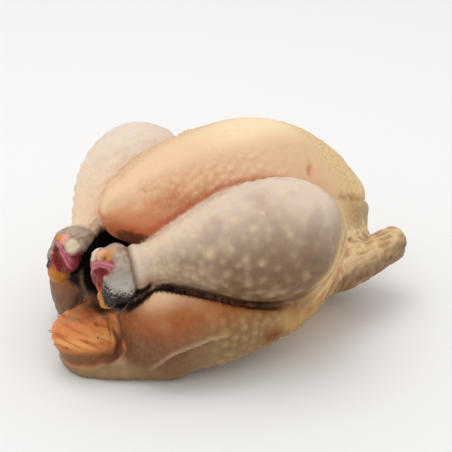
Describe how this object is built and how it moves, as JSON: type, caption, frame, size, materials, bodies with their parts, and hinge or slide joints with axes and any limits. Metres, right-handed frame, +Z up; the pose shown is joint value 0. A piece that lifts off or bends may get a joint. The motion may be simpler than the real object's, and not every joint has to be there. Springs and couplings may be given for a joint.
{
  "type": "whole raw chicken",
  "caption": "Whole raw plucked chicken on its back, legs folded beside the breast, wings folded under, cut hocks and an open body cavity at the vent.",
  "frame": {"origin": "middle of the bird's box, on the plane that its back rests on", "axes": "+X from the tail to the neck, +Y to the bird's right, +Z up from the back to the breast"},
  "size_m": [0.2093, 0.1773, 0.1071],
  "materials": {
    "skin": "moist, satin",
    "bone": "moist, smooth"
  },
  "bodies": {
    "root": {"chicken": "skin", "shank_bone_left": "bone", "shank_bone_right": "bone"}
  },
  "joints": []
}
